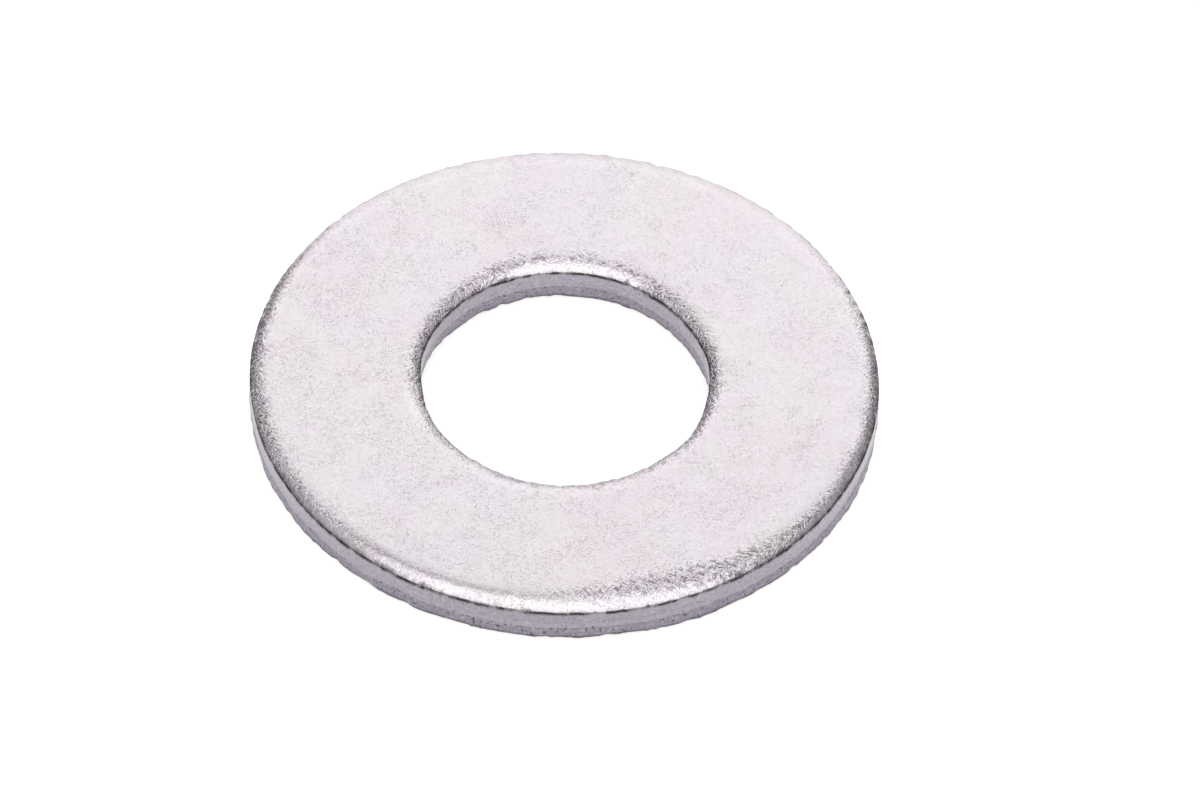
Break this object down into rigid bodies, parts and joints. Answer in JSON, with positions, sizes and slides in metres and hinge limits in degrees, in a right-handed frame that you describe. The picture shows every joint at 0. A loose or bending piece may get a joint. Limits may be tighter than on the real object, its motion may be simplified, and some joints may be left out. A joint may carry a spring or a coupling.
{
  "type": "flat washer",
  "caption": "Plain round flat washer of bright stamped steel, with a rolled rim and hole edge on its top face and square-cut edges below.",
  "frame": {"origin": "on the hole's axis, in the plane of the underside that the washer lies on", "axes": "+Z along the hole's axis, out of the top face, which is the one with the rolled edges; X and Y are alike"},
  "size_m": [0.019, 0.019, 0.0013],
  "materials": {
    "steel": "satin"
  },
  "bodies": {
    "root": {"washer_ring": "steel"}
  },
  "joints": []
}
